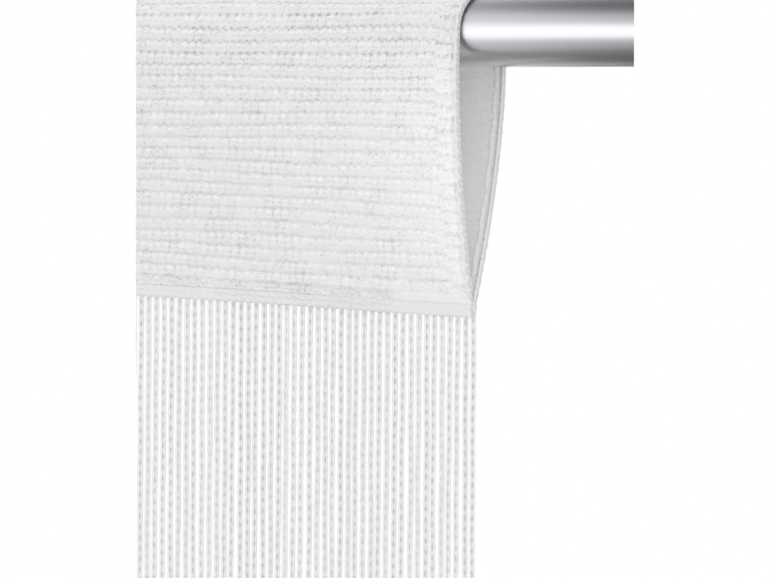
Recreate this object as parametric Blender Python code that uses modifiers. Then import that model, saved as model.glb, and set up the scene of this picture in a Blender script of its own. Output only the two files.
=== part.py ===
"""String curtain hanging on its rod.

A knitted heading is folded over a round aluminium rod and closed by a plain hem
band. Some hundreds of knitted strings hang from that band, side by side, down to
their cut ends. The heading slides along the rod, and the strings swing forwards
and backwards under the hem.

Frame: origin on the rod's axis at mid length, +X along the rod to the right as
seen from the front, +Z up. The front of the curtain faces -Y.
"""

import math

import bmesh
import bpy
from mathutils import Vector

MM = 0.001

# Rod, a plain round tube with a plug in each end
ROD_DIAMETER = 20.0 * MM
ROD_WALL = 1.0 * MM
ROD_LENGTH = 1060.0 * MM
ROD_SIDES = 48

PLUG_FLANGE_THICKNESS = 2.0 * MM
PLUG_FLANGE_ROUNDING = 0.6 * MM
PLUG_SPIGOT_LENGTH = 14.0 * MM
PLUG_SPIGOT_LEAD = 1.0 * MM

# Gap between pieces that touch
SEAT_GAP = 0.3 * MM

# Strings
STRING_PITCH = 2.7 * MM
STRING_WIDTH = 1.4 * MM
STRINGS_PER_PANEL = 21
PANEL_COUNT = 16
CURTAIN_DROP = 2000.0 * MM
CUT_END_SPREAD = 4.0 * MM
BACKING_HEIGHT = 1.6 * MM
BACKING_THICKNESS = 1.6 * MM
PANEL_SIDE_GAP = 0.6 * MM
STRING_ROOT_DEPTH = 0.8 * MM

# Knitted heading: a loop over the rod, closed by the hem band
KNIT_THICKNESS = 1.2 * MM
HEADING_DROP = 78.0 * MM
HEM_BAND_HEIGHT = 4.0 * MM
HEM_LAYER_GAP = 0.4 * MM
HEM_BAND_ROUNDING = 0.8 * MM
SELVEDGE_DIAMETER = 2.0 * MM
HEADING_OVERHANG = 0.7 * MM
SEAM_THREAD_DIAMETER = 0.6 * MM
KNIT_WAVE_DEPTH = 0.8 * MM
KNIT_WAVE_LENGTH = 230.0 * MM

# How fast the front and back of the loop draw together towards the hem: 1 is a
# straight line, and a larger power stays wide for longer
HANG_POWER = 1.95

SIDE_ROWS = 12
ARC_ROWS = 12
HEADING_COLUMNS = 16

# Sizes that follow from the ones above
ROD_RADIUS = ROD_DIAMETER / 2
ROD_BORE_RADIUS = ROD_RADIUS - ROD_WALL
PLUG_SPIGOT_RADIUS = ROD_BORE_RADIUS - SEAT_GAP
CURTAIN_WIDTH = STRING_PITCH * STRINGS_PER_PANEL * PANEL_COUNT
PANEL_PITCH = STRING_PITCH * STRINGS_PER_PANEL
EDGE_REACH = CURTAIN_WIDTH / 2 + HEADING_OVERHANG
HEADING_WIDTH = 2 * (EDGE_REACH - SELVEDGE_DIAMETER - SEAT_GAP)
LOOP_RADIUS = ROD_RADIUS + SEAT_GAP + KNIT_THICKNESS / 2
LOOP_HEM_OFFSET = (KNIT_THICKNESS + HEM_LAYER_GAP) / 2
LOOP_BOTTOM = HEADING_DROP - HEM_BAND_HEIGHT
HEM_BAND_THICKNESS = 2 * KNIT_THICKNESS + HEM_LAYER_GAP
BACKING_REACH = math.hypot(BACKING_HEIGHT, BACKING_THICKNESS) / 2
SWING_AXIS_DEPTH = HEADING_DROP + SEAT_GAP + BACKING_REACH
BOTTOM_DEPTH = CURTAIN_DROP - LOOP_RADIUS - KNIT_THICKNESS / 2


def clear_scene():
    for item in list(bpy.data.objects):
        bpy.data.objects.remove(item, do_unlink=True)


def new_collection(name):
    old = bpy.data.collections.get(name)
    if old:
        bpy.data.collections.remove(old)
    group = bpy.data.collections.new(name)
    bpy.context.scene.collection.children.link(group)
    return group


def make_material(name, colour, roughness, metallic=0.0):
    """A plain Principled finish."""
    finish = bpy.data.materials.new(name)
    finish.use_nodes = True
    shader = finish.node_tree.nodes["Principled BSDF"]
    shader.inputs["Base Color"].default_value = (*colour, 1.0)
    shader.inputs["Roughness"].default_value = roughness
    shader.inputs["Metallic"].default_value = metallic
    return finish


def add_object(name, data, group, finish):
    item = bpy.data.objects.new(name, data)
    group.objects.link(item)
    data.materials.append(finish)
    return item


def mesh_from(shape, name):
    """Turn a bmesh into mesh data and free it."""
    mesh = bpy.data.meshes.new(name)
    shape.to_mesh(mesh)
    shape.free()
    return mesh


def shade_round(mesh, sharp_angle=math.radians(35)):
    mesh.shade_smooth()
    mesh.set_sharp_from_angle(angle=sharp_angle)


def turned_piece(name, profile, closed, group, finish):
    """Revolve (radius, height) points about Z, then lay that axis along +X."""
    shape = bmesh.new()
    points = [shape.verts.new((radius, 0.0, height)) for radius, height in profile]
    for first, second in zip(points, points[1:]):
        shape.edges.new((first, second))
    if closed:
        shape.edges.new((points[-1], points[0]))
    item = add_object(name, mesh_from(shape, name), group, finish)
    screw = item.modifiers.new("Revolve", "SCREW")
    screw.steps = ROD_SIDES
    screw.render_steps = ROD_SIDES
    screw.use_merge_vertices = True
    screw.merge_threshold = 0.01 * MM
    screw.use_smooth_shade = True
    item.rotation_euler = (0.0, math.radians(90), 0.0)
    return item


def make_rod(group, finish):
    """The curtain rod: a tube, its outer side first so that the wall faces out."""
    half = ROD_LENGTH / 2
    profile = [
        (ROD_RADIUS, half),
        (ROD_RADIUS, -half),
        (ROD_BORE_RADIUS, -half),
        (ROD_BORE_RADIUS, half),
    ]
    return turned_piece("curtain_rod", profile, True, group, finish)


def make_plug(name, side, group, finish):
    """A push-in end plug: flange flush with the tube, and a spigot in its bore."""
    profile = [
        (0.0, PLUG_FLANGE_THICKNESS),
        (ROD_RADIUS - PLUG_FLANGE_ROUNDING, PLUG_FLANGE_THICKNESS),
        (ROD_RADIUS, PLUG_FLANGE_THICKNESS - PLUG_FLANGE_ROUNDING),
        (ROD_RADIUS, 0.0),
        (PLUG_SPIGOT_RADIUS, 0.0),
        (PLUG_SPIGOT_RADIUS, PLUG_SPIGOT_LEAD - PLUG_SPIGOT_LENGTH),
        (PLUG_SPIGOT_RADIUS - PLUG_SPIGOT_LEAD, -PLUG_SPIGOT_LENGTH),
        (0.0, -PLUG_SPIGOT_LENGTH),
    ]
    plug = turned_piece(name, profile, False, group, finish)
    plug.location.x = side * (ROD_LENGTH / 2 + SEAT_GAP)
    plug.rotation_euler.y = side * math.radians(90)
    return plug


def knit_wave(x, share):
    """How far the cloth bows at one place: none at the rod and at the hem."""
    along = math.sin(2 * math.pi * x / KNIT_WAVE_LENGTH)
    return KNIT_WAVE_DEPTH * along * math.sin(math.pi * share)


def side_point(x, share, facing, outward):
    """A point on the front (facing -1) or back (facing 1) of the loop."""
    radius = LOOP_RADIUS + outward
    foot = LOOP_HEM_OFFSET + outward
    spread = foot + (radius - foot) * (1 - share ** HANG_POWER)
    return Vector((x, facing * (spread + knit_wave(x, share)), -share * LOOP_BOTTOM))


def loop_points(x, outward=0.0):
    """The heading's section at x: up the front, over the rod, down the back."""
    radius = LOOP_RADIUS + outward
    front = [side_point(x, 1 - row / SIDE_ROWS, -1, outward) for row in range(SIDE_ROWS)]
    turns = [math.pi * (1 - row / ARC_ROWS) for row in range(ARC_ROWS + 1)]
    over = [Vector((x, radius * math.cos(turn), radius * math.sin(turn))) for turn in turns]
    back = [side_point(x, (row + 1) / SIDE_ROWS, 1, outward) for row in range(SIDE_ROWS)]
    return front + over + back


def make_rod_pocket(group, finish):
    """The knitted heading: one sheet over the rod, made thick by Solidify."""
    across = len(loop_points(0.0))
    shape = bmesh.new()
    bmesh.ops.create_grid(
        shape, x_segments=HEADING_COLUMNS, y_segments=across - 1, size=HEADING_WIDTH / 2
    )
    columns = {}
    for vert in shape.verts:
        columns.setdefault(round(vert.co.x / MM, 3), []).append(vert)
    for column in columns.values():
        column.sort(key=lambda vert: vert.co.y)
        for vert, place in zip(column, loop_points(column[0].co.x)):
            vert.co = place
    mesh = mesh_from(shape, "rod_pocket")
    shade_round(mesh)
    item = add_object("rod_pocket", mesh, group, finish)
    thicken = item.modifiers.new("Knit thickness", "SOLIDIFY")
    thicken.thickness = KNIT_THICKNESS
    thicken.offset = 0.0
    return item


def make_hem_band(group, finish):
    """The plain band in which the front and back of the loop are closed."""
    height = HEM_BAND_HEIGHT - SEAT_GAP
    shape = bmesh.new()
    bmesh.ops.create_cube(shape, size=1.0)
    bmesh.ops.scale(shape, vec=(HEADING_WIDTH, HEM_BAND_THICKNESS, height), verts=shape.verts)
    mesh = mesh_from(shape, "hem_band")
    item = add_object("hem_band", mesh, group, finish)
    item.location.z = height / 2 - HEADING_DROP
    rounding = item.modifiers.new("Soft lower edges", "BEVEL")
    rounding.width = HEM_BAND_ROUNDING
    rounding.segments = 2
    return item


def make_cord(name, run, diameter, group, finish, resolution=1):
    """A thin cord along a list of points, capped at both ends."""
    curve = bpy.data.curves.new(name, "CURVE")
    curve.dimensions = "3D"
    curve.bevel_depth = diameter / 2
    curve.bevel_resolution = resolution
    curve.use_fill_caps = True
    spline = curve.splines.new("POLY")
    spline.points.add(len(run) - 1)
    for knot, place in zip(spline.points, run):
        knot.co = (*place, 1.0)
    return add_object(name, curve, group, finish)


def make_selvedge(name, side, group, finish):
    """The overlocked edge that runs round each open end of the loop."""
    radius = SELVEDGE_DIAMETER / 2
    outward = radius - KNIT_THICKNESS / 2
    x = side * (EDGE_REACH - radius)
    edge = loop_points(side * HEADING_WIDTH / 2, outward)
    for place in edge:
        place.x = x
    foot = -(HEADING_DROP - radius)
    front_foot = Vector((x, edge[0].y, foot))
    back_foot = Vector((x, edge[-1].y, foot))
    return make_cord(name, [front_foot, *edge, back_foot], SELVEDGE_DIAMETER, group, finish)


def make_seam_thread(name, facing, group, finish):
    """The seam that closes the loop, as it lies on the front (-1) or the back (1)."""
    reach = HEM_BAND_THICKNESS / 2 + SEAT_GAP + SEAM_THREAD_DIAMETER / 2
    half = HEADING_WIDTH / 2
    height = -(LOOP_BOTTOM + SEAT_GAP / 2 + SEAM_THREAD_DIAMETER)
    run = [(-half, facing * reach, height), (half, facing * reach, height)]
    return make_cord(name, run, SEAM_THREAD_DIAMETER, group, finish)


def cut_end_offset(index):
    """How much shorter than the longest string this one was cut, by its index."""
    return CUT_END_SPREAD * (0.5 - 0.5 * math.sin(index * 2.4))


def make_string_panel(number, group, cutters, finish):
    """One panel: a slice of the hem's edge with its strings fused to it.

    Its origin is on the line about which the strings swing.
    """
    name = f"string_panel_{number:02d}"
    left = (number - 1) * PANEL_PITCH - CURTAIN_WIDTH / 2

    strings = bmesh.new()
    root = STRING_ROOT_DEPTH - BACKING_HEIGHT / 2
    for strand in range(STRINGS_PER_PANEL):
        index = (number - 1) * STRINGS_PER_PANEL + strand
        foot = SWING_AXIS_DEPTH - BOTTOM_DEPTH + cut_end_offset(index)
        made = bmesh.ops.create_cone(
            strings,
            cap_ends=True,
            segments=4,
            radius1=STRING_WIDTH / 2,
            radius2=STRING_WIDTH / 2,
            depth=root - foot,
        )
        middle = (root + foot) / 2
        x = (strand + 0.5) * STRING_PITCH - PANEL_PITCH / 2
        bmesh.ops.translate(strings, vec=(x, 0.0, middle), verts=made["verts"])
    comb = add_object(name + "_strings", mesh_from(strings, name + "_strings"), cutters, finish)
    comb.hide_render = True
    comb.display_type = "WIRE"

    backing = bmesh.new()
    bmesh.ops.create_cube(backing, size=1.0)
    bmesh.ops.scale(
        backing,
        vec=(PANEL_PITCH - PANEL_SIDE_GAP, BACKING_THICKNESS, BACKING_HEIGHT),
        verts=backing.verts,
    )
    panel = add_object(name, mesh_from(backing, name), group, finish)
    place = Vector((left + PANEL_PITCH / 2, 0.0, -SWING_AXIS_DEPTH))
    panel.location = place
    comb.location = place
    fuse = panel.modifiers.new("Strings", "BOOLEAN")
    fuse.operation = "UNION"
    fuse.solver = "EXACT"
    fuse.object = comb
    return panel


def build():
    clear_scene()
    group = new_collection("string_curtain")
    cutters = new_collection("string_curtain_cutters")

    aluminium = make_material("satin_aluminium", (0.72, 0.73, 0.75), 0.32, 1.0)
    plug_plastic = make_material("grey_plastic", (0.42, 0.43, 0.45), 0.5)
    knit = make_material("white_knit", (0.80, 0.80, 0.79), 0.9)
    thread = make_material("white_thread", (0.84, 0.84, 0.83), 0.8)
    yarn = make_material("white_yarn", (0.82, 0.82, 0.81), 0.85)

    make_rod(group, aluminium)
    make_plug("rod_plug_left", -1, group, plug_plastic)
    make_plug("rod_plug_right", 1, group, plug_plastic)

    make_rod_pocket(group, knit)
    make_hem_band(group, knit)
    make_selvedge("selvedge_left", -1, group, thread)
    make_selvedge("selvedge_right", 1, group, thread)
    make_seam_thread("hem_seam_front", -1, group, thread)
    make_seam_thread("hem_seam_back", 1, group, thread)

    for number in range(1, PANEL_COUNT + 1):
        make_string_panel(number, group, cutters, yarn)


build()
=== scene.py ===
"""The looks of the string curtain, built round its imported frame."""

import math

import bmesh
import bpy
import numpy as np
from mathutils import Matrix, Vector


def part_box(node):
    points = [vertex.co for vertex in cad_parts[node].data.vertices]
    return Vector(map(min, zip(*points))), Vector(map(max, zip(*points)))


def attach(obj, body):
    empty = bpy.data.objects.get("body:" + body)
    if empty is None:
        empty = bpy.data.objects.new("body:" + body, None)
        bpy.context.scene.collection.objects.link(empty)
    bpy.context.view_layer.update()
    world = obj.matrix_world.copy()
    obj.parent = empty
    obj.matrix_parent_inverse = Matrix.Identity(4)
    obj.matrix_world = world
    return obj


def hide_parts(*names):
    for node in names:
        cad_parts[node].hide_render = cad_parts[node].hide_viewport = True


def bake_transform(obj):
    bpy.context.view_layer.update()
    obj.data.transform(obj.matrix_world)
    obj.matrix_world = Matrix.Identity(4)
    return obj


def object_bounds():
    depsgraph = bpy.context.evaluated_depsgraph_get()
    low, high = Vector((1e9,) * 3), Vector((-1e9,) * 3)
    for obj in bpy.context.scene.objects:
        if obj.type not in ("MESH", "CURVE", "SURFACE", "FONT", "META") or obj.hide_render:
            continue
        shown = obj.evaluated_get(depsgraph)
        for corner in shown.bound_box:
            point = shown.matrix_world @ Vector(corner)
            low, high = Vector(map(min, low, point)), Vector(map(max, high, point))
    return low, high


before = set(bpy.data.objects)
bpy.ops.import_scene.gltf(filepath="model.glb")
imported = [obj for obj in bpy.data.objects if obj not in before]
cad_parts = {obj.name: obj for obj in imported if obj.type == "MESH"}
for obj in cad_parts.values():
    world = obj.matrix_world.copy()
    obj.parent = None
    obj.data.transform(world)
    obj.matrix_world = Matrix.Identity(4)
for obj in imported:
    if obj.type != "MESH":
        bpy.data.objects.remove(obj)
cad_low, cad_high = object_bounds()

MM = 0.001
WHITE = (1.0, 1.0, 1.0, 1.0)
WHOLE_TURN = 6.28

# Sizes from the frame
rod_low, rod_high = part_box("curtain_rod")
band_low, band_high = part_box("hem_band")
pocket_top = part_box("rod_pocket")[1].z
edge_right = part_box("selvedge_right")[1].x
edge_left = -edge_right
panel_names = sorted(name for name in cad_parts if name.startswith("string_panel"))

rod_radius = (rod_high.z - rod_low.z) / 2
rod_length = rod_high.x - rod_low.x
heading_left = band_low.x
heading_drop = -band_low.z
band_thickness = band_high.y - band_low.y
strings_bottom = cad_low.z

# The heading and its knit
band_height = 4.0 * MM
loop_drop = heading_drop - band_height
string_pitch = 2.7 * MM
strings_per_panel = 21
string_count = strings_per_panel * len(panel_names)
curtain_right = string_pitch * string_count / 2
curtain_left = -curtain_right
knit_thickness = 1.2 * MM
loop_radius = pocket_top - knit_thickness / 2
loop_hem_offset = (band_thickness - knit_thickness) / 2
hang_power = 1.95
front_slack = 0.55 * MM
back_slack = 1.15 * MM
knit_wave_depth = 0.8 * MM
knit_wave_length = 230.0 * MM
row_pitch = 3.5 * MM
hem_lap = 0.5 * MM
rib_relief = 0.22 * MM
wale_relief = 0.10 * MM
wales_seen_closely = 44
side_hem_width = 8.7 * MM
knit_end_inset = 0.35 * MM
smooth_end_width = 31.0 * MM
smooth_end_fade = 6.0 * MM
end_draw_in = 2.0 * MM
edge_fold = 0.28 * MM
thread_radius = 0.22 * MM
chain_inside = 2.4 * MM
chain_relief = 0.55 * MM

# The hem line rises and falls a little along the width, as a soft knit does
hem_swell = 3.3 * MM
hem_swell_length = 400.0 * MM
hem_swell_middle = curtain_right - 59.0 * MM

# Strings
panels_seen_closely = 3
stitch_length = 3.08 * MM
leg_radius = 0.38 * MM
leg_spread = 0.40 * MM
leg_opening = 0.07 * MM
string_width = 1.60 * MM
string_turn = math.radians(34)
string_drift = 0.75 * MM
string_drift_reach = 118.0 * MM
# Even painted shade on the plainer lower strings
lower_painted_shade = 0.14
string_tuck = 0.9 * MM
chain_depth = 82.0 * MM
chain_depth_spread = 34.0 * MM


def unit_noise(index, seed):
    """A repeatable number from 0 to 1 for an index, or an array of them."""
    value = np.sin(np.asarray(index, float) * 12.9898 + seed * 78.233) * 43758.5453
    return value - np.floor(value)


def hem_shift(x):
    """How far the hem hangs above (positive) or below its mean height at x."""
    return hem_swell * np.sin(2 * math.pi * (hem_swell_middle - x) / hem_swell_length)


# Mesh helpers


def new_item(name, mesh, material):
    """An object for a mesh, linked into the scene."""
    item = bpy.data.objects.new(name, mesh)
    bpy.context.scene.collection.objects.link(item)
    mesh.materials.append(material)
    return item


def new_mesh(name, points, corners, starts):
    """A mesh from its points, its faces' corners in a row, and where each face starts."""
    mesh = bpy.data.meshes.new(name)
    mesh.vertices.add(len(points))
    mesh.vertices.foreach_set("co", np.asarray(points, np.float32).ravel())
    mesh.loops.add(len(corners))
    mesh.loops.foreach_set("vertex_index", np.asarray(corners, np.int32))
    mesh.polygons.add(len(starts))
    mesh.polygons.foreach_set("loop_start", np.asarray(starts, np.int32))
    mesh.update(calc_edges=True)
    return mesh


def set_smooth(mesh, smooth):
    mesh.polygons.foreach_set("use_smooth", [smooth] * len(mesh.polygons))


def mesh_object(name, points, faces, material, smooth=True):
    """An object from an array of points and an array of four-sided faces."""
    faces = np.asarray(faces)
    mesh = new_mesh(name, points, faces.ravel(), np.arange(0, faces.size, faces.shape[1]))
    mesh.validate()
    set_smooth(mesh, smooth)
    return new_item(name, mesh, material)


def add_values(item, name, values):
    """Store one number a point, for the material to read."""
    attribute = item.data.attributes.new(name, "FLOAT", "POINT")
    attribute.data.foreach_set("value", np.asarray(values, np.float32))


def grid_faces(rows, columns, flip=False, offset=0):
    """Faces of a grid of points numbered row by row."""
    row, column = np.meshgrid(np.arange(rows - 1), np.arange(columns - 1), indexing="ij")
    first = (row * columns + column).ravel() + offset
    quads = np.stack([first, first + 1, first + columns + 1, first + columns], axis=1)
    return quads[:, ::-1] if flip else quads


def unit(vectors):
    """The same directions, each of length 1."""
    return vectors / np.linalg.norm(vectors, axis=-1, keepdims=True)


def tubes(centres, right, wide, deep, sides, squareness=1.0):
    """Points, faces and the angle of each point of tubes along rows of centres.

    centres is (tubes, rings, 3). Each tube is wide across right and deep across its
    other axis, both half widths, and closed at both ends by a point. A point's angle
    is 0 towards right and a quarter turn towards the tube's front. squareness is 1
    for a round tube, and less for a squarer one.
    """
    count, rings, _ = centres.shape
    right = np.broadcast_to(np.asarray(right, float), centres.shape)
    out = unit(np.cross(unit(np.gradient(centres, axis=1)), right))
    turn = np.arange(sides) / sides * 2 * math.pi
    wide = np.broadcast_to(wide, (count, rings))[..., None, None]
    deep = np.broadcast_to(deep, (count, rings))[..., None, None]
    across, outward = np.cos(turn), np.sin(turn)
    across = (np.sign(across) * np.abs(across) ** squareness)[None, None, :, None]
    outward = (np.sign(outward) * np.abs(outward) ** squareness)[None, None, :, None]
    skin = centres[:, :, None] + right[:, :, None] * across * wide
    skin = skin + out[:, :, None] * outward * deep
    skin = skin.reshape(count, rings * sides, 3)
    points = np.concatenate([skin, centres[:, :1], centres[:, -1:]], axis=1)
    level, side = np.meshgrid(np.arange(rings - 1), np.arange(sides), indexing="ij")
    here = (level * sides + side).ravel()
    beyond = (level * sides + (side + 1) % sides).ravel()
    walls = np.stack([here, beyond, beyond + sides, here + sides], axis=1)
    around = np.arange(sides)
    after = (around + 1) % sides
    last = (rings - 1) * sides
    start_cap = np.stack([around * 0 + rings * sides, after, around], axis=1)
    end_cap = np.stack([around * 0 + rings * sides + 1, last + around, last + after], axis=1)
    shift = (np.arange(count) * (rings * sides + 2))[:, None, None]
    quads = (walls[None] + shift).reshape(-1, 4)
    triangles = (np.concatenate([start_cap, end_cap])[None] + shift).reshape(-1, 3)
    angle = np.concatenate([np.tile(turn, rings), [0.0, 0.0]])
    return points.reshape(-1, 3), quads, triangles, np.tile(angle, count)


def per_point(values, sides):
    """Spread one value a ring over a tube's points, with two more for its ends."""
    values = np.atleast_2d(values)
    spread = np.repeat(values, sides, axis=1)
    return np.concatenate([spread, values[:, :1], values[:, -1:]], axis=1).ravel()


def mixed_object(name, parts, material):
    """One smooth object from several sets of points, quads and triangles."""
    points, corners, starts = [], [], []
    offset, at = 0, 0
    for part_points, quads, triangles, _ in parts:
        points.append(part_points)
        for faces in (quads, triangles):
            corners.append((faces + offset).ravel())
            starts.append(at + np.arange(len(faces)) * faces.shape[1])
            at += faces.size
        offset += len(part_points)
    mesh = new_mesh(name, *map(np.concatenate, (points, corners, starts)))
    set_smooth(mesh, True)
    return new_item(name, mesh, material)


# Materials


class Wires:
    """Adds nodes to a node tree and joins them."""

    def __init__(self, tree):
        self.tree = tree

    def add(self, kind, **settings):
        node = self.tree.nodes.new(kind)
        for key, value in settings.items():
            setattr(node, key, value)
        return node

    def join(self, source, target):
        self.tree.links.new(source, target)

    def feed(self, socket, value):
        if isinstance(value, bpy.types.NodeSocket):
            self.join(value, socket)
        else:
            socket.default_value = value

    def math(self, operation, first, second=0.0, clamp=False):
        node = self.add("ShaderNodeMath", operation=operation, use_clamp=clamp)
        self.feed(node.inputs[0], first)
        self.feed(node.inputs[1], second)
        return node.outputs[0]

    def times(self, first, second, clamp=False):
        return self.math("MULTIPLY", first, second, clamp)

    def plus(self, first, second, clamp=False):
        return self.math("ADD", first, second, clamp)

    def minus(self, first, second):
        return self.math("SUBTRACT", first, second)

    def scale(self, value, factor, offset=0.0):
        """value times factor plus offset."""
        node = self.add("ShaderNodeMath", operation="MULTIPLY_ADD")
        self.join(value, node.inputs[0])
        node.inputs[1].default_value = factor
        node.inputs[2].default_value = offset
        return node.outputs[0]

    def value_at(self, name):
        return self.add("ShaderNodeAttribute", attribute_name=name).outputs["Fac"]

    def place(self):
        """Where a point lies on its object, in metres."""
        return self.add("ShaderNodeTexCoord").outputs["Object"]

    def stretch(self, place, scale):
        node = self.add("ShaderNodeMapping")
        self.join(place, node.inputs["Vector"])
        node.inputs["Scale"].default_value = scale
        return node.outputs["Vector"]

    def noise(self, place, scale, detail, output="Fac"):
        node = self.add("ShaderNodeTexNoise")
        self.join(place, node.inputs["Vector"])
        self.feed(node.inputs["Scale"], scale)
        node.inputs["Detail"].default_value = detail
        return node.outputs[output]

    def tint(self, colour, level):
        """A colour made lighter or darker by a level."""
        node = self.add("ShaderNodeVectorMath", operation="SCALE")
        self.join(colour, node.inputs[0])
        self.join(level, node.inputs["Scale"])
        return node.outputs[0]

    def mix(self, share, first, second):
        node = self.add("ShaderNodeMix", data_type="RGBA")
        self.feed(node.inputs["Factor"], share)
        self.feed(node.inputs["A"], first)
        self.feed(node.inputs["B"], second)
        return node.outputs["Result"]


def new_group(name, inputs, outputs):
    """A node group, the wires to fill it, what it is given and what it puts out."""
    group = bpy.data.node_groups.new(name, "ShaderNodeTree")
    for socket, kind, start in inputs:
        made = group.interface.new_socket(socket, in_out="INPUT", socket_type=kind)
        if start is not None:
            made.default_value = start
    for socket, kind in outputs:
        group.interface.new_socket(socket, in_out="OUTPUT", socket_type=kind)
    wires = Wires(group)
    return group, wires, wires.add("NodeGroupInput"), wires.add("NodeGroupOutput")


def wave(wires, place, sharpness):
    """1 on whole numbers, falling to 0 halfway, narrower as sharpness grows."""
    turn = wires.times(place, 2 * math.pi)
    lift = wires.scale(wires.math("COSINE", turn), 0.5, 0.5)
    return wires.math("POWER", lift, sharpness)


def make_yarn_group():
    """Fine fibres and a little unevenness, shared by all the white yarns."""
    group, wires, given, out = new_group(
        "Yarn fibres",
        [("Fibre scale", "NodeSocketFloat", 2600.0), ("Unevenness", "NodeSocketFloat", 0.5)],
        [("Height", "NodeSocketFloat"), ("Shade", "NodeSocketFloat")],
    )
    place = wires.place()
    along_string = wires.stretch(place, (1.0, 1.0, 0.35))
    fibres = wires.noise(along_string, given.outputs["Fibre scale"], 3.0)
    patches = wires.noise(place, 420.0, 2.0)
    wires.join(fibres, out.inputs["Height"])
    uneven = wires.times(wires.minus(patches, 0.5), given.outputs["Unevenness"])
    fine = wires.times(wires.minus(fibres, 0.5), 0.35)
    wires.join(wires.plus(uneven, fine), out.inputs["Shade"])
    return group


def make_stitch_group():
    """The knit's rows and stitches, from row and wale numbers kept on the mesh.

    Holes marks the sunken places between stitches, painted grey as shade, and Loops their raised
    crowns, painted pale as a highlight.
    """
    outputs = ("Height", "Holes", "Loops")
    group, wires, given, out = new_group(
        "Knit stitches",
        [("Wander", "NodeSocketFloat", 0.3)],
        [(output, "NodeSocketFloat") for output in outputs],
    )
    place = wires.place()
    edge = wires.value_at("edge")
    parts = wires.add("ShaderNodeSeparateColor")
    wires.join(wires.noise(place, 480.0, 3.0, "Color"), parts.inputs["Color"])

    # The rows and wales wander, most of all over the turned-in side hems
    ragged = wires.plus(edge, wires.scale(parts.outputs[2], 2.4, -1.2))
    hem = wires.math("GREATER_THAN", ragged, 0.5)
    loose = wires.scale(hem, 1.2, 1.0)
    wander = wires.times(given.outputs["Wander"], loose)
    across = wires.times(wires.minus(parts.outputs[0], 0.5), wander)
    along = wires.times(wires.minus(parts.outputs[1], 0.5), wander)
    row = wires.plus(wires.value_at("row"), along)
    row = wires.plus(row, wires.scale(hem, 0.30))

    # Each course is shifted sideways a little, and its stitches slant
    course = wires.math("FLOOR", wires.plus(row, 0.02))
    offset = wires.scale(wires.math("SINE", wires.scale(course, 2.4)), 0.16)
    slant = wires.scale(wires.minus(row, course), -0.40)
    wale = wires.plus(wires.value_at("wale"), wires.times(across, 2.4))
    wale = wires.plus(wale, wires.scale(hem, 0.5))
    wale = wires.plus(wires.plus(wale, offset), slant)

    # Painted shade for the holes lies in a line between rows, with a dot at each stitch and
    # halfway to the next, and in short dividers and specks
    dotted = wires.value_at("dots")
    patches = wires.noise(place, 120.0, 3.0)
    strength = wires.scale(patches, 2.4, -0.2)
    line = wave(wires, row, 2.8)
    dots = wires.times(wave(wires, wale, 3.5), dotted)
    main = wires.times(line, wires.scale(dots, 0.42, 0.26))
    under_line = wave(wires, wires.plus(row, 0.50), 4.0)
    between = wires.times(wave(wires, wires.plus(row, 0.5), 7.0), dotted)
    between = wires.times(between, wave(wires, wires.plus(wale, 0.5), 2.5))
    dividers = wires.times(wave(wires, wale, 5.0), under_line)
    dividers = wires.times(dividers, wires.scale(patches, 1.5, -0.54), clamp=True)
    flecks = wires.noise(wires.stretch(place, (0.55, 1.0, 1.25)), 1700.0, 2.0)
    specks = wires.times(wires.scale(flecks, -7.0, 2.9), 0.38, clamp=True)
    main = wires.plus(main, wires.scale(between, 0.30))
    holes = wires.times(main, strength)
    holes = wires.plus(holes, wires.plus(dividers, specks), clamp=True)
    shaped = wires.scale(wires.value_at("plain"), -1.0, 1.0)
    shown = wires.times(holes, shaped)

    # Crowns are the raised tops of the stitches, between the holes, and get a painted highlight
    crown = wave(wires, wires.plus(wale, 0.5), 1.3)
    crown_line = wave(wires, wires.plus(row, 0.28), 3.0)
    highlight_flecks = wires.scale(flecks, 7.0, -2.4)
    loops = wires.times(wires.times(crown, crown_line), highlight_flecks, clamp=True)
    loops = wires.times(loops, shaped)
    wires.join(shown, out.inputs["Holes"])
    wires.join(loops, out.inputs["Loops"])
    raised = wires.scale(loops, 0.60)
    wires.join(wires.minus(raised, shown), out.inputs["Height"])
    return group


def new_material(name):
    """A material, the wires to fill it and its shader."""
    material = bpy.data.materials.new(name)
    material.use_nodes = True
    wires = Wires(material.node_tree)
    return material, wires, material.node_tree.nodes["Principled BSDF"]


def bump(wires, shader, height, distance, strength, before=None):
    """Relief from a height, on top of the relief that came before."""
    node = wires.add("ShaderNodeBump")
    node.inputs["Strength"].default_value = strength
    node.inputs["Distance"].default_value = distance
    wires.join(height, node.inputs["Height"])
    if before is not None:
        wires.join(before, node.inputs["Normal"])
    wires.join(node.outputs["Normal"], shader.inputs["Normal"])
    return node.outputs["Normal"]


def use_group(wires, group, **values):
    node = wires.add("ShaderNodeGroup")
    node.node_tree = group
    for key, value in values.items():
        node.inputs[key.replace("_", " ")].default_value = value
    return node


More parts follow.
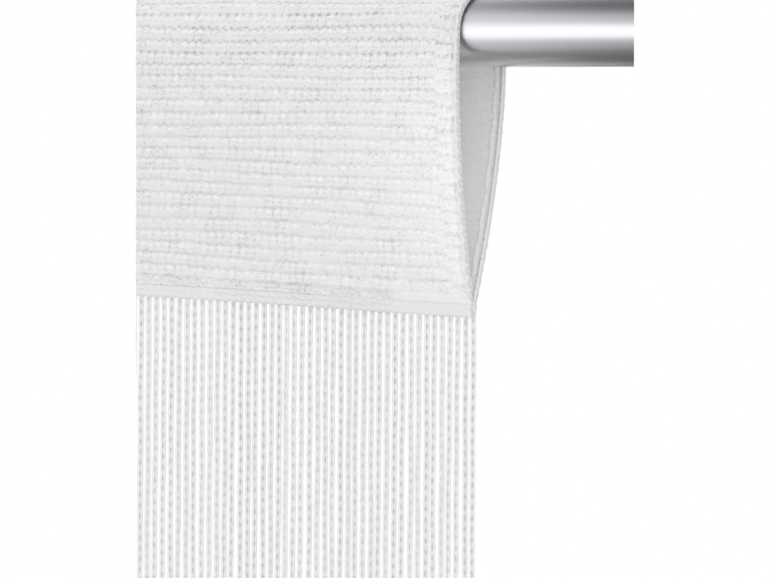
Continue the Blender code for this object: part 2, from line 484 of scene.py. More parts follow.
def make_cloth(name, light, painted_shade_colour, unevenness, fine_bump, glow, stitches=None):
    """White yarn or knit: a painted highlight on its crowns, painted shade in its hollows,
    finely fibrous.

    glow is how much light passes through the cloth. stitches is how far the knit's
    stitches wander, and yarn has none.
    """
    material, wires, shader = new_material(name)
    fibres = use_group(wires, yarn_group, Unevenness=unevenness)
    if stitches is not None:
        pattern = use_group(wires, stitch_group, Wander=stitches)
        shade = pattern.outputs["Holes"]
    else:
        shade = yarn_painted_shade(wires)
    colour = wires.mix(shade, light, painted_shade_colour)
    # Painted highlight: the stitch crowns, and the bead chain inside each open end, are mixed
    # towards a paler colour
    if stitches is not None:
        highlight_level = min(light[0] * 1.11, 0.98)
        crown_highlight = wires.plus(pattern.outputs["Loops"], wires.value_at("bead"), clamp=True)
        colour = wires.mix(crown_highlight, colour, (highlight_level, highlight_level, highlight_level, 1.0))
    level = wires.scale(fibres.outputs["Shade"], 0.26, 1.0)
    # Darker towards the hem rim, and painted shade in the strip beside the front cord, both
    # through the rim value
    if glow:
        level = wires.times(level, wires.scale(wires.value_at("rim"), -0.18, 1.0))
    wires.join(wires.tint(colour, level), shader.inputs["Base Color"])
    shader.inputs["Roughness"].default_value = 0.85
    shader.inputs["Sheen Weight"].default_value = 0.1
    shader.inputs["Subsurface Weight"].default_value = glow
    if glow:
        thick = wires.scale(pattern.outputs["Loops"], 0.70)
        solid = wires.plus(wires.value_at("rim"), thick, clamp=True)
        see_through = wires.scale(solid, -glow, glow)
        wires.join(see_through, shader.inputs["Subsurface Weight"])
    shader.inputs["Subsurface Radius"].default_value = (1.0, 1.0, 1.0)
    shader.inputs["Subsurface Scale"].default_value = 2.8 * MM
    normal = bump(wires, shader, fibres.outputs["Height"], fine_bump, 0.7)
    if stitches is not None:
        bump(wires, shader, pattern.outputs["Height"], 0.42 * MM, 0.8, normal)
    return material


def yarn_painted_shade(wires):
    """Painted shade kept on the mesh, and painted shade of stitches drawn on the plain lower
    strings.
    """
    stitch = wave(wires, wires.plus(wires.value_at("stitch"), 0.5), 2.5)
    middle = wires.math("POWER", wires.math("ABSOLUTE", wires.value_at("facing")), 3.0)
    drawn = wires.times(wires.times(stitch, middle), wires.value_at("drawn"))
    return wires.plus(wires.value_at("painted_shade"), drawn, clamp=True)


def make_aluminium():
    """Satin anodised aluminium, faintly streaked along its length."""
    material, wires, shader = new_material("Satin aluminium")
    place = wires.place()
    streaks = wires.noise(wires.stretch(place, (0.02, 1.0, 1.0)), 900.0, 4.0)
    grain = wires.noise(place, 2400.0, 2.0)
    shader.inputs["Metallic"].default_value = 1.0
    colour = wires.mix(streaks, (0.82, 0.825, 0.84, 1.0), (0.85, 0.855, 0.87, 1.0))
    wires.join(colour, shader.inputs["Base Color"])
    rough = wires.scale(streaks, 0.03, 0.32)
    wires.join(rough, shader.inputs["Roughness"])
    bump(wires, shader, grain, 0.01 * MM, 0.25)
    return material


def make_plastic():
    """Fine-grained grey plastic of the end plugs."""
    material, wires, shader = new_material("Grey plug plastic")
    place = wires.place()
    grain = wires.noise(place, 3200.0, 2.0)
    patches = wires.noise(place, 180.0, 2.0)
    colour = wires.mix(patches, (0.40, 0.41, 0.43, 1.0), (0.46, 0.47, 0.49, 1.0))
    wires.join(colour, shader.inputs["Base Color"])
    rough = wires.scale(grain, 0.15, 0.42)
    wires.join(rough, shader.inputs["Roughness"])
    bump(wires, shader, grain, 0.02 * MM, 0.4)
    return material


yarn_group = make_yarn_group()
stitch_group = make_stitch_group()
knit_white = make_cloth(
    "White knit", light=(0.955, 0.955, 0.955, 1), painted_shade_colour=(0.40, 0.40, 0.405, 1),
    unevenness=0.5, fine_bump=0.18 * MM, glow=1.0, stitches=0.38,
)
hem_white = make_cloth(
    "White hem knit", light=(0.745, 0.745, 0.745, 1), painted_shade_colour=(0.67, 0.67, 0.67, 1),
    unevenness=0.2, fine_bump=0.05 * MM, glow=0.0, stitches=0.5,
)
string_white = make_cloth(
    "White string yarn", light=(0.835, 0.835, 0.835, 1), painted_shade_colour=(0.54, 0.54, 0.545, 1),
    unevenness=0.6, fine_bump=0.08 * MM, glow=0.0,
)
edge_white = make_cloth(
    "White edge thread", light=(0.93, 0.93, 0.93, 1), painted_shade_colour=(0.64, 0.64, 0.65, 1),
    unevenness=0.4, fine_bump=0.06 * MM, glow=0.0,
)
aluminium = make_aluminium()
plug_grey = make_plastic()


# The rod and its plugs

rod_wall = 1.0 * MM
rod_rounding = 0.25 * MM
plug_flange = 2.0 * MM
plug_rounding = 0.6 * MM
plug_lead = 1.0 * MM
spigot_radius = rod_radius - 1.3 * MM
sharp_corner = math.radians(35)


def turned(name, profile, material, steps=128):
    """Revolve (radius, height) points about X, closed where the radius is 0."""
    profile = np.asarray(profile)
    turn = np.arange(steps) / steps * 2 * math.pi
    radius, height = profile[:, 0][:, None], profile[:, 1][:, None]
    points = np.stack(
        [height + 0 * turn, radius * np.cos(turn), radius * np.sin(turn)], axis=2
    ).reshape(-1, 3)
    level, side = np.meshgrid(np.arange(len(profile) - 1), np.arange(steps), indexing="ij")
    here = (level * steps + side).ravel()
    beyond = (level * steps + (side + 1) % steps).ravel()
    faces = np.stack([here, here + steps, beyond + steps, beyond], axis=1)
    item = mesh_object(name, points, faces, material)
    shape = bmesh.new()
    shape.from_mesh(item.data)
    bmesh.ops.remove_doubles(shape, verts=shape.verts, dist=0.001 * MM)
    bmesh.ops.recalc_face_normals(shape, faces=shape.faces)
    shape.to_mesh(item.data)
    shape.free()
    item.data.set_sharp_from_angle(angle=sharp_corner)
    return item


def make_rod():
    """The open tube, its four edges slightly rounded."""
    half = rod_length / 2
    bore = rod_radius - rod_wall
    profile = [
        (bore, -half + rod_rounding),
        (bore + rod_rounding, -half),
        (rod_radius - rod_rounding, -half),
        (rod_radius, -half + rod_rounding),
        (rod_radius, half - rod_rounding),
        (rod_radius - rod_rounding, half),
        (bore + rod_rounding, half),
        (bore, half - rod_rounding),
        (bore, -half + rod_rounding),
    ]
    rod = turned("rod_tube", profile, aluminium)
    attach(rod, "rod")
    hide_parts("curtain_rod")


def make_plug(side, node):
    """A cap over the rod's end, with a spigot that goes into its bore."""
    low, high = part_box(node)
    outer = max(abs(low.x), abs(high.x))
    inner = min(abs(low.x), abs(high.x))
    profile = [(0.0, outer)]
    for turn in np.linspace(0, math.pi / 2, 6):
        radius = rod_radius - plug_rounding + plug_rounding * math.sin(turn)
        profile.append((radius, outer - plug_rounding + plug_rounding * math.cos(turn)))
    profile += [
        (rod_radius, outer - plug_flange),
        (spigot_radius, outer - plug_flange),
        (spigot_radius, inner + plug_lead),
        (spigot_radius - plug_lead, inner),
        (0.0, inner),
    ]
    profile = [(radius, side * height) for radius, height in profile]
    plug = turned("end_" + node, profile, plug_grey, 96)
    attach(plug, "rod")
    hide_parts(node)


make_rod()
make_plug(-1, "rod_plug_left")
make_plug(1, "rod_plug_right")


# The heading


def loop_section():
    """The heading's middle line at its mean drop, as points and their distances.

    It runs from the top of the hem band up the front, over the rod and down the back.
    """
    share = np.linspace(1, 0, 240)[:, None]
    spread = loop_hem_offset + (loop_radius - loop_hem_offset) * (1 - share**hang_power)
    bulge = np.sin(math.pi * share**0.6)
    front = np.hstack([-spread - front_slack * bulge, -share * loop_drop])
    turn = np.linspace(math.pi, 0, 121)[1:-1, None]
    over = loop_radius * np.hstack([np.cos(turn), np.sin(turn)])
    back = np.hstack([spread + back_slack * bulge, -share * loop_drop])[::-1]
    line = np.vstack([front, over, back])
    steps = np.linalg.norm(np.diff(line, axis=0), axis=1)
    return line, np.concatenate([[0], np.cumsum(steps)])


section_line, section_length = loop_section()
loop_length = section_length[-1]
row_count = loop_length / row_pitch


def section_at(distance):
    """Y and Z of the section at a distance, running on straight past both ends."""
    y = np.interp(distance, section_length, section_line[:, 0])
    z = np.interp(distance, section_length, section_line[:, 1])
    return y, z - np.abs(distance - np.clip(distance, 0, loop_length))


def loop_place(x, distance, outward):
    """Points of the heading at x and at a distance along its section.

    outward is how far each lies off the middle line, away from the rod.
    """
    y, z = section_at(distance)
    ahead_y, ahead_z = section_at(distance + 0.5 * MM)
    behind_y, behind_z = section_at(distance - 0.5 * MM)
    dy, dz = ahead_y - behind_y, ahead_z - behind_z
    length = np.hypot(dy, dz)
    share = np.clip(-z / loop_drop, 0, 1)
    bow = knit_wave_depth * np.sin(2 * math.pi * x / knit_wave_length) * np.sin(math.pi * share)
    y = y + np.where(distance < loop_length / 2, -1, 1) * bow
    return settle(np.stack([x, y - outward * dz / length, z + outward * dy / length], axis=-1))


def from_end(x):
    """How far x lies inside the nearer end of the heading."""
    return np.minimum(x - edge_left, edge_right - x)


def at_back(distance):
    """0 in front of the rod's top, rising to 1 a little way behind it."""
    return np.clip((distance - loop_length / 2) / (8 * MM), 0, 1)


def on_smooth_end(x):
    """1 over the smoother part of the knit at the right end, and 0 past it."""
    return np.clip((smooth_end_width - (curtain_right - x)) / smooth_end_fade, 0, 1)


def settle(points):
    """Let the hem line swell, and draw the heading's ends in towards the hem."""
    x, y, z = points[..., 0], points[..., 1], points[..., 2]
    low = np.clip(-z / loop_drop, 0, 1)
    near_end = np.clip(1 - (from_end(x) - 3 * MM) / (14 * MM), 0, 1)
    moved_x = x - np.sign(x) * end_draw_in * near_end * low**1.5
    moved_z = np.where(z < 0, z * (1 - hem_shift(x) / heading_drop), z)
    return np.stack([moved_x, y, moved_z], axis=-1)


def rib(row, wale):
    """The knit's relief at a row and wale number, in metres above its ground."""
    main = 0.5 - 0.5 * np.cos(2 * math.pi * row)
    stitch = 0.5 - 0.5 * np.cos(2 * math.pi * wale)
    return rib_relief * main**0.6 + wale_relief * stitch * main


def knit_columns():
    """Places along the width, in wales: three to a wale where the knit is seen closely.

    They are closer still over the chain of stitches inside each open end, and six
    wales apart over the rest.
    """
    reach = edge_right - knit_end_inset
    first = (-reach - curtain_left) / string_pitch
    last = (reach - curtain_left) / string_pitch
    close = string_count - wales_seen_closely
    fine = np.arange(0, 3.6 * MM, 0.2 * MM) / string_pitch
    far = np.arange(first + 2, close, 6)
    near = np.arange(close * 3, (last - fine[-1]) * 3 - 0.5) / 3
    return np.concatenate([first + fine, far, near, last - fine[::-1]])


def edge_share(x):
    """1 over the turned-in side hems and 0 past them."""
    return np.clip((side_hem_width - from_end(x)) / (3.0 * MM), 0, 1)


def edge_chain(rows, inside):
    """How high the chain of edge stitches stands on the inner face, from 0 to 1.

    It is one bead a row, wandering along a line just inside each open end.
    """
    line = chain_inside + 0.24 * MM * np.sin(rows * 2.1)
    line = line + 0.20 * MM * np.sin(2 * math.pi * rows + 0.8)
    across = np.clip(1 - ((inside - line) / (0.75 * MM)) ** 2, 0, 1)
    along = 0.55 + 0.45 * np.sin(2 * math.pi * rows)
    return across * along


def off_rod(distance):
    """0 where the section lies on the rod, and 1 from a few millimetres below it."""
    below = -section_at(distance)[1]
    return np.clip((below - 1.0 * MM) / (4.0 * MM), 0, 1)


def set_faces_out(item):
    """Close the open ends and turn every face outwards."""
    shape = bmesh.new()
    shape.from_mesh(item.data)
    bmesh.ops.holes_fill(shape, edges=[edge for edge in shape.edges if edge.is_boundary])
    bmesh.ops.recalc_face_normals(shape, faces=shape.faces)
    shape.to_mesh(item.data)
    shape.free()


def make_heading():
    """The knitted sheet: an outer face, an inner face and the four edges between."""
    wale = knit_columns()
    begin = -hem_lap / row_pitch
    row = np.linspace(begin, row_count - begin, round((row_count - 2 * begin) * 4) + 1)
    rows, wales = np.meshgrid(row, wale, indexing="ij")
    x = curtain_left + wales * string_pitch
    wander = 0.10 * np.sin(x / (31 * MM) + rows * 0.7) + 0.06 * np.sin(x / (13 * MM) - rows)
    wander = wander + 0.10 * np.sin(x / (47 * MM) - rows * 0.35)
    side_hem = edge_share(x)
    relief = rib(rows + wander, wales) * (1 - 0.6 * side_hem) + 0.12 * MM * side_hem
    to_rim = np.minimum(rows - begin, row_count - begin - rows) * row_pitch
    flush = np.clip(1.4 - to_rim / (2.4 * MM), 0, 1)
    relief = relief * (1 - flush) + rib_relief * 0.95 * flush
    inside = from_end(x)
    bead = edge_chain(rows, inside) * (1 - flush) * off_rod(rows * row_pitch)
    folded = edge_fold * np.clip((7.0 * MM - inside) / (4.0 * MM), 0, 1) * (1 - flush)
    folded = folded * off_rod(rows * row_pitch) + chain_relief * bead
    outer = loop_place(x, rows * row_pitch, knit_thickness / 2 - rib_relief + relief)
    inner = loop_place(x, rows * row_pitch, -knit_thickness / 2 - folded)
    height, width = rows.shape
    count = height * width
    along, down = np.arange(width), np.arange(height) * width
    last = along + (height - 1) * width
    right = down + width - 1
    faces = [
        grid_faces(height, width),
        grid_faces(height, width, True, count),
        np.stack([along[:-1], along[:-1] + count, along[1:] + count, along[1:]], axis=1),
        np.stack([last[:-1], last[1:], last[1:] + count, last[:-1] + count], axis=1),
        np.stack([down[:-1], down[1:], down[1:] + count, down[:-1] + count], axis=1),
        np.stack([right[:-1], right[:-1] + count, right[1:] + count, right[1:]], axis=1),
    ]
    points = np.concatenate([outer.reshape(-1, 3), inner.reshape(-1, 3)])
    heading = mesh_object("knit_heading", points, np.concatenate(faces), knit_white)
    add_values(heading, "row", np.tile((rows + wander + 0.2).ravel(), 2))
    add_values(heading, "wale", np.tile(wales.ravel(), 2))
    near_rim = np.clip((0.75 - np.minimum(rows, row_count - rows)) / 0.15, 0, 1)
    smooth_part = on_smooth_end(x) * near_rim
    add_values(heading, "plain", np.concatenate([smooth_part.ravel(), np.full(count, 0.75)]))
    drop = np.clip(-outer[..., 2] / (40 * MM), 0, 1)
    add_values(heading, "dots", np.tile((1 - 0.75 * drop**0.7).ravel(), 2))
    add_values(heading, "edge", np.tile(side_hem.ravel(), 2))
    rim = np.clip((4.5 * MM - to_rim) / (2.5 * MM), 0, 1)
    # Beside the front cord the outer face gets painted shade, through the rim value
    beside_cord = np.clip(1 - np.abs(inside - 1.9 * MM) / (0.8 * MM), 0, 1)
    in_front = rows < row_count / 2
    rim = np.maximum(rim, 0.6 * beside_cord * in_front).ravel()
    add_values(heading, "rim", np.concatenate([rim, np.zeros(count)]))
    # Besides its relief, the bead chain gets a painted highlight in the material
    add_values(heading, "bead", np.concatenate([np.zeros(count), bead.ravel()]))
    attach(heading, "heading")
    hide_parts("rod_pocket")
    return heading


def make_hem_band():
    """The plain band at the bottom, its lower edge drawn down a little at each string."""
    wale = knit_columns()
    half = band_thickness / 2
    top = -loop_drop
    bottom = -heading_drop
    rounding = 0.9 * MM
    tuck = 0.5 * MM
    side = np.linspace(top - 0.1 * MM, bottom + rounding, 8)
    turn = np.linspace(0, math.pi, 9)[1:-1]
    section = [(-half + tuck, top + 0.2 * MM), (-half + 0.1 * MM, top + 0.1 * MM)]
    section += [(-half, z) for z in side]
    section += [(-half * math.cos(t), bottom + rounding - rounding * math.sin(t)) for t in turn]
    section += [(half, z) for z in side[::-1]]
    section += [(half - 0.1 * MM, top + 0.1 * MM), (half - tuck, top + 0.2 * MM)]
    section = np.array(section)
    places, wales = np.meshgrid(np.arange(len(section)), wale, indexing="ij")
    x = curtain_left + wales * string_pitch
    y, z = section[places, 0], section[places, 1]
    low = np.clip((top - z) / (top - bottom), 0, 1)
    scallop = 0.16 * MM * np.cos(2 * math.pi * (wales - 0.5)) * low**3
    puff = 0.04 * MM * np.sin(x / (9 * MM)) * np.sin(x / (23 * MM) + 1.3) * low
    points = settle(np.stack([x, y * (1 + puff / half), z], axis=-1))
    points[..., 2] -= scallop
    height, width = places.shape
    faces = [grid_faces(height, width, True)]
    closing = np.arange(width)
    last = (height - 1) * width + closing
    faces.append(np.stack([closing[:-1], closing[1:], last[1:], last[:-1]], axis=1))
    band = mesh_object("plain_hem_band", points.reshape(-1, 3), np.concatenate(faces), hem_white)
    set_faces_out(band)
    add_values(band, "row", (low * 2.0).ravel())
    add_values(band, "wale", wales.ravel())
    plain = np.clip(0.3 + on_smooth_end(x) + 0.2 * np.sin(x / (17 * MM)), 0, 1)
    add_values(band, "dots", np.full(places.size, 0.3))
    add_values(band, "plain", plain.ravel())
    add_values(band, "rim", np.zeros(places.size))
    add_values(band, "edge", edge_share(x).ravel())
    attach(band, "heading")
    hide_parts("hem_band")
    return band


def add_yarn_values(item, painted_shade, stitch=0.0, facing=0.0, drawn=0.0):
    """What the yarn material reads: painted shade, and the stitches drawn on a plain yarn as
    more painted shade.
    """
    count = len(item.data.vertices)
    named = {"painted_shade": painted_shade, "stitch": stitch, "facing": facing, "drawn": drawn}
    for name, values in named.items():
        add_values(item, name, np.broadcast_to(values, count))


def chain(path, right, stitches, sides, core):
    """A knitted chain along a path: two legs that part once a stitch, and maybe a core.

    Returns its tubes and, for each point, its painted shade: on the inner side of each leg where
    the legs part, and on the core seen between them.
    """
    out = unit(np.cross(unit(np.gradient(path, axis=0)), right))
    turn = 2 * math.pi * stitches
    parted = 0.5 - 0.5 * np.cos(turn)
    spread = leg_spread + leg_opening * parted
    lift = 0.08 * MM * np.cos(turn)
    radius = leg_radius * (1.08 - 0.16 * parted)
    parts, painted_shade = [], []
    for side in (-1, 1):
        centre = path + np.multiply.outer(side * spread, right) + out * lift[:, None]
        leg = tubes(centre[None], right, radius, radius, sides)
        # Painted shade on the inner side of each leg, where the legs part
        inward = np.clip(-side * np.cos(leg[3]), 0, 1)
        parts.append(leg)
        painted_shade.append(per_point(parted**4, sides) * inward * 0.5)
    if core:
        parts.append(tubes(path[None], right, 0.40 * MM, 0.30 * MM, 4))
        # The core is painted darker all along, most where the legs part to show it: painted
        # shade
        painted_shade.append(per_point(0.2 + 0.8 * parted, 4))
    return parts, np.concatenate(painted_shade)


def string_x(index):
    """The middle of string number index at the hem."""
    return curtain_left + (index + 0.5) * string_pitch


def string_line(index, z):
    """Where string number index hangs at each height: plumb, with slight wander."""
    base = string_x(index)
    base = base - string_drift * np.clip((curtain_right - base) / string_drift_reach, 0, 1)
    deep = -z - heading_drop
    loose = np.clip(deep / (40 * MM), 0, 1)
    shift = (unit_noise(index, 1) - 0.5) * 0.45 * MM * (0.4 + 0.6 * loose)
    sway = 0.07 * MM * np.sin(deep / (5 * MM) + WHOLE_TURN * unit_noise(index, 2))
    slow = 0.35 * MM * np.sin(deep / (190 * MM) + WHOLE_TURN * unit_noise(index, 3))
    x = base + shift + sway + slow * np.clip(deep / (400 * MM), 0, 1)
    y = 0.12 * MM * np.sin(deep / (17 * MM) + WHOLE_TURN * unit_noise(index, 4)) * loose
    return np.stack([x, y, z], axis=-1)


def make_strings(number, node):
    """One panel's strings: knitted chains near the hem, plainer tubes further down."""
    close = number >= len(panel_names) - panels_seen_closely
    rings_per_stitch, sides = (8, 6) if close else (3, 4)
    parts, painted_shades, stitch_values, facings, drawns = [], [], [], [], []
    for strand in range(strings_per_panel):
        index = number * strings_per_panel + strand
        turned_by = string_turn + 0.5 * (unit_noise(index, 8) - 0.5)
        right = np.array([math.cos(turned_by), math.sin(turned_by), 0.0])
        top = -heading_drop + float(hem_shift(string_x(index))) + string_tuck
        length = stitch_length * (1 + 0.03 * (unit_noise(index, 6) - 0.5))
        depth = chain_depth + chain_depth_spread * unit_noise(index, 9)
        stitches = math.floor(depth / length)
        rings = stitches * rings_per_stitch + 1
        step = np.linspace(0, stitches, rings)
        z = top - step * length
        phase = 0.12 * (unit_noise(index, 5) - 0.5) + 0.3 * math.sin(index * 0.9)
        chain_parts, painted_shade = chain(string_line(index, z), right, step + phase, sides, close)
        # How deep each string's painted shade is, at random
        shade_depth = 0.40 + 0.50 * unit_noise(index, 7)
        parts += chain_parts
        painted_shades.append(painted_shade * shade_depth)
        stitch_values.append(0 * painted_shade)
        facings.append(0 * painted_shade)
        drawns.append(0 * painted_shade)
        bottom = strings_bottom + 4.0 * MM * (0.5 - 0.5 * math.sin(index * 2.4))
        lower = np.linspace(z[-1] + 0.4 * MM, bottom, 60)
        line = string_line(index, lower)
        tube = tubes(line[None], right, string_width / 2, string_width * 0.35, 5)
        parts.append(tube)
        # The plainer tube gets even painted shade, and painted shade of stitches drawn on its
        # front and back
        stitch_values.append(per_point((top - lower) / length + phase, 5))
        facings.append(np.sin(tube[3]))
        painted_shades.append(0 * tube[3] + lower_painted_shade)
        drawns.append(0 * tube[3] + 0.8 * shade_depth)
    strings = mixed_object(f"strings_{number + 1:02d}", parts, string_white)
    add_yarn_values(strings, *map(np.concatenate, (painted_shades, stitch_values, facings, drawns)))
    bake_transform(strings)
    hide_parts(node)
    strings.visible_glossy = False
    return strings


def edge_loops(side, begin, total):
    """The thread that winds over the very edge, two turns to a row of the knit.

    Returns its tube and the painted shade of each point, more of it at the back.
    """
    loops = round(total / row_pitch * 2)
    step = np.linspace(0, loops, loops * 20 + 1)
    along = begin + 0.6 * MM + (total - 1.2 * MM) * step / loops
    turn = 2 * math.pi * step
    uneven = 0.25 * np.sin(step * 1.9) + 0.15 * np.sin(step * 0.7 + 1.0)
    inside = -0.06 * MM + 1.0 * MM * (0.5 - 0.5 * np.cos(turn)) ** 0.8
    inner = knit_thickness / 2 + 0.05 * MM + 0.20 * MM * off_rod(along)
    outward = np.sign(np.sin(turn)) * np.abs(np.sin(turn)) ** 0.6
    outward = np.where(outward > 0, outward * 0.50 * MM, outward * inner)
    path = loop_place(side * (edge_right - inside), along + 0.5 * MM * uneven, outward)
    down = np.gradient(loop_place(side * edge_right + 0 * along, along, 0 * along), axis=0)
    right = unit(np.cross(np.gradient(path, axis=0), down))
    # Painted shade that varies along each turn, darker at the back
    painted_shade = 0.25 + 0.25 * np.sin(turn) + 0.5 * at_back(along)
    thread = tubes(path[None], right[None], thread_radius, thread_radius, 5)
    return thread, per_point(painted_shade, 5)


def make_selvedge(side, node):
    """The overlocked edge: a folded edge, its corner cord, and threads looped over it."""
    wrap_half = 0.32 * MM
    wrap_sides, cord_sides = 14, 8
    begin = -band_height * 0.96
    total = loop_length + 2 * band_height * 0.96
    rings = round(total / row_pitch * 12) + 1
    along = np.linspace(begin, begin + total, rings)
    axis = np.array([1.0, 0.0, 0.0])
    turn = 2 * math.pi * along / row_pitch
    wander = 0.10 * MM * np.sin(along / (5.3 * MM))
    wander = wander + 0.08 * MM * np.sin(along / (2.9 * MM) + 1.0)
    to_hem = np.maximum(begin + 6 * MM - along, along - begin - total + 6 * MM)
    closing = np.clip(to_hem / (4 * MM), 0, 1)
    depth = 0.84 * MM * (1 - 0.22 * closing) + 0.04 * MM * np.cos(turn)
    x = side * (edge_right - wrap_half)
    centre = loop_place(np.full(rings, x), along, -0.04 * MM * (1 - closing))
    out = unit(np.cross(unit(np.gradient(centre, axis=0)), axis))
    wrap = tubes(centre[None], axis, wrap_half, depth, wrap_sides, 0.55)
    corner_x = side * (edge_right - 0.55 * MM + wander * 0.5)
    corner = loop_place(corner_x, along, 0.58 * MM + 0 * along)
    looped = corner + np.multiply.outer(side * 0.16 * MM * np.cos(turn), axis)
    looped = looped + out * (0.08 * MM * np.sin(turn))[:, None]
    thick = 0.44 * MM + 0.06 * MM * np.sin(turn + 0.6)
    cord = tubes(looped[None], axis, thick, thick * 0.8, cord_sides)
    thread, thread_painted_shade = edge_loops(side, begin, total)
    edge = mixed_object("overlocked_" + node, [wrap, cord, thread], edge_white)
    # Painted shade: the wrap is painted dark all along and the cord half dark, both darker at
    # the back; at the back the wrap's side facing inside is painted lighter, as painted light
    behind = at_back(along)
    wrap_shade_level = 0.90 + 0.10 * np.cos(turn) ** 2
    inward_painted_light = per_point(behind, wrap_sides) * np.clip(np.sin(wrap[3]), 0, 1)
    wrap_painted_shade = per_point(wrap_shade_level, wrap_sides) * (1 - 0.9 * inward_painted_light)
    cord_painted_shade = per_point(0.50 - 0.10 * np.sin(turn) + 0.3 * behind, cord_sides)
    add_yarn_values(edge, np.concatenate([wrap_painted_shade, cord_painted_shade, thread_painted_shade]))
    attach(edge, "heading")
    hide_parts(node)
    edge.visible_glossy = False
    return edge


def make_seam(facing, node):
    """The row of lock stitches that closes the loop, one short float to a string."""
    float_start, float_length = 0.14, 0.72
    along = np.linspace(float_start, 0.86, 6)
    first = math.ceil((heading_left - curtain_left) / string_pitch)
    index = np.arange(first, string_count - first)[:, None]
    x = curtain_left + (index + along[None]) * string_pitch
    dip = np.sin(math.pi * (along - float_start) / float_length)[None]
    z = -loop_drop - 0.5 * MM + 0.12 * MM * np.sin(index * 1.7) + 0 * x
    y = facing * (band_thickness / 2 - 0.24 * MM + 0.14 * MM * dip) + 0 * x
    centres = settle(np.stack([x, y, z], axis=-1))
    radius = 0.20 * MM * (0.6 + 0.4 * dip) + 0 * x
    part = tubes(centres, (0.0, 0.0, 1.0), radius, radius, 6)
    seam = mixed_object("stitched_" + node, [part], edge_white)
    # The seam thread is painted darker all over, as painted shade
    add_yarn_values(seam, 0.85)
    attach(seam, "heading")
    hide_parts(node)
    return seam


heading = make_heading()
hem = make_hem_band()
on_heading = [
    hem,
    make_selvedge(-1, "selvedge_left"),
    make_selvedge(1, "selvedge_right"),
    make_seam(-1, "hem_seam_front"),
    make_seam(1, "hem_seam_back"),
]
on_heading += [make_strings(number, node) for number, node in enumerate(panel_names)]


# Floor, world, lights and camera


def make_floor():
    """A plain pale floor a little below the strings' ends."""
    mesh = bpy.data.meshes.new("floor")
    shape = bmesh.new()
    bmesh.ops.create_grid(shape, x_segments=1, y_segments=1, size=24.0)
    shape.to_mesh(mesh)
    shape.free()
    floor = bpy.data.objects.new("floor", mesh)
    bpy.context.scene.collection.objects.link(floor)
    floor.location = (0, 0, cad_low.z - 30 * MM)
    material, _, shader = new_material("Pale floor")
    shader.inputs["Base Color"].default_value = (0.9, 0.9, 0.9, 1.0)
    shader.inputs["Roughness"].default_value = 0.9
    mesh.materials.append(material)
    floor.visible_glossy = False


def make_world():
    """Soft even light. Cameras see white, and metal a bright front in a darker room."""
    world = bpy.data.worlds.new("Soft tent")
    bpy.context.scene.world = world
    world.use_nodes = True
    wires = Wires(world.node_tree)
    background = world.node_tree.nodes["Background"]
    light_path = wires.add("ShaderNodeLightPath")
    direction = wires.add("ShaderNodeTexCoord").outputs["Generated"]
    parts = wires.add("ShaderNodeSeparateXYZ")
    wires.join(direction, parts.inputs[0])
    level = wires.add("ShaderNodeValToRGB")
    height = wires.scale(parts.outputs["Z"], 0.5, 0.5)
    wires.join(height, level.inputs["Fac"])
    stops = (
        (0.0, 0.13), (0.10, 0.12), (0.18, 0.13), (0.28, 0.13), (0.33, 0.59), (0.375, 1.32),
        (0.60, 1.32), (0.66, 0.58), (0.73, 0.27), (0.84, 0.20), (0.90, 0.04), (1.0, 0.02),
    )
    ramp = level.color_ramp
    while len(ramp.elements) < len(stops):
        ramp.elements.new(0.5)
    for element, (place, shade) in zip(ramp.elements, stops):
        element.position = place
        blue = 1.02 + 0.35 * max(place - 0.6, 0)
        element.color = (shade, shade, shade * blue, 1.0)
    front = wires.scale(parts.outputs["Y"], -0.9, 0.75)
    front = wires.math("MAXIMUM", wires.math("MINIMUM", front, 1.0), 0.65)
    mirrored = wires.tint(level.outputs["Color"], front)
    lit = wires.mix(light_path.outputs["Is Glossy Ray"], WHITE, mirrored)
    seen = wires.mix(light_path.outputs["Is Camera Ray"], lit, WHITE)
    wires.join(seen, background.inputs["Color"])
    background.inputs["Strength"].default_value = 1.0


def make_softbox(name, place, target, width, height, power, on_metal=False):
    """A soft area light: one for cloth, or one that only metal reflects."""
    data = bpy.data.lights.new(name, "AREA")
    data.shape = "RECTANGLE"
    data.size = width
    data.size_y = height
    data.energy = power
    lamp = bpy.data.objects.new(name, data)
    bpy.context.scene.collection.objects.link(lamp)
    lamp.location = place
    lamp.rotation_euler = (Vector(target) - Vector(place)).to_track_quat("-Z", "Y").to_euler()
    lamp.visible_camera = False
    lamp.visible_glossy = on_metal
    lamp.visible_diffuse = not on_metal


# The photograph's frame and where its fixed points fall in it, in its pixels
frame_width_px = 770
frame_height_px = 578
end_of_axis_px = (479.5, 31.5)
picture_left_px = 136
picture_right_px = 634
pixels_per_metre = 3550.0
camera_azimuth = math.radians(36)
camera_lean = 0.0075
camera_distance = 5.0
sensor_width = 36.0


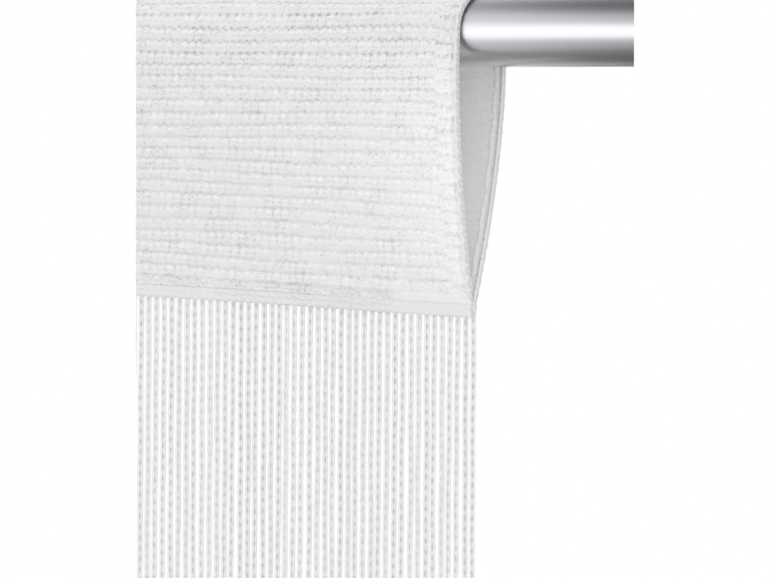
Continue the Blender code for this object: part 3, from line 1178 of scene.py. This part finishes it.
def make_camera():
    """Level with the rod, from the front right, far off with a long lens.

    It is set so that the rod's axis at the heading's right end falls on its pixel.
    """
    data = bpy.data.cameras.new("camera")
    camera = bpy.data.objects.new("camera", data)
    bpy.context.scene.collection.objects.link(camera)
    bpy.context.scene.camera = camera
    right = Vector((math.cos(camera_azimuth), math.sin(camera_azimuth), 0.0))
    up = Vector((0.0, 0.0, 1.0))
    leaned_right = (right + camera_lean * up).normalized()
    leaned_up = (up - camera_lean * right).normalized()
    back = leaned_right.cross(leaned_up)
    known = Vector((curtain_right, 0.0, 0.0))
    middle = known
    middle = middle + leaned_right * (frame_width_px / 2 - end_of_axis_px[0]) / pixels_per_metre
    middle = middle - leaned_up * (frame_height_px / 2 - end_of_axis_px[1]) / pixels_per_metre
    camera.location = middle + back * camera_distance
    camera.rotation_euler = Matrix((leaned_right, leaned_up, back)).transposed().to_euler()
    seen_width = frame_width_px / pixels_per_metre
    data.sensor_width = sensor_width
    data.lens = sensor_width * camera_distance / seen_width
    data.clip_start = 0.005
    data.clip_end = 100.0

    # The photograph is cropped at its left and right inside a white frame. Two white
    # cards, less than a millimetre wide and just before the lens, make that crop.
    card_distance = 0.02
    card_scale = card_distance / camera_distance / pixels_per_metre
    centre = camera.location - back * card_distance
    margin = frame_width_px * 0.3
    edges = ((-margin, picture_left_px), (picture_right_px, frame_width_px + margin))
    material, wires, _ = new_material("White card")
    glow = wires.add("ShaderNodeEmission")
    output = material.node_tree.nodes["Material Output"]
    wires.join(glow.outputs[0], output.inputs["Surface"])
    for number, (first, second) in enumerate(edges):
        low = (first - frame_width_px / 2) * card_scale
        high = (second - frame_width_px / 2) * card_scale
        tall = frame_height_px * card_scale
        corners = [(low, -tall), (high, -tall), (high, tall), (low, tall)]
        points = [centre + leaned_right * a + leaned_up * b for a, b in corners]
        card = mesh_object(f"crop_card_{number + 1}", points, [[0, 1, 2, 3]], material, False)
        card.visible_shadow = False
        card.visible_diffuse = False
        card.visible_glossy = False
        card.visible_transmission = False


make_floor()
make_world()
# The softboxes stand further off than the strings reach when they swing forwards
make_softbox("left softbox", (-2.4, -3.8, -0.5), (0.3, 0.0, -0.05), 3.2, 2.4, 18.0)
make_softbox("right softbox", (4.2, -3.0, -0.4), (0.45, 0.0, -0.05), 3.2, 2.4, 15.0)

# Metal mirrors two cards hung in the curtain's plane, above and below the rod
card_width, card_height = 0.42, 0.15
card_power = 0.62 * math.pi * card_width * card_height
for above in (135 * MM, -135 * MM):
    place = Vector((curtain_right - 138 * MM, 0.0, above))
    ahead = place + Vector((1, 0, 0))
    make_softbox("metal card", place, ahead, card_width, card_height, card_power, True)
make_camera()

scene = bpy.context.scene
scene.view_settings.view_transform = "Standard"
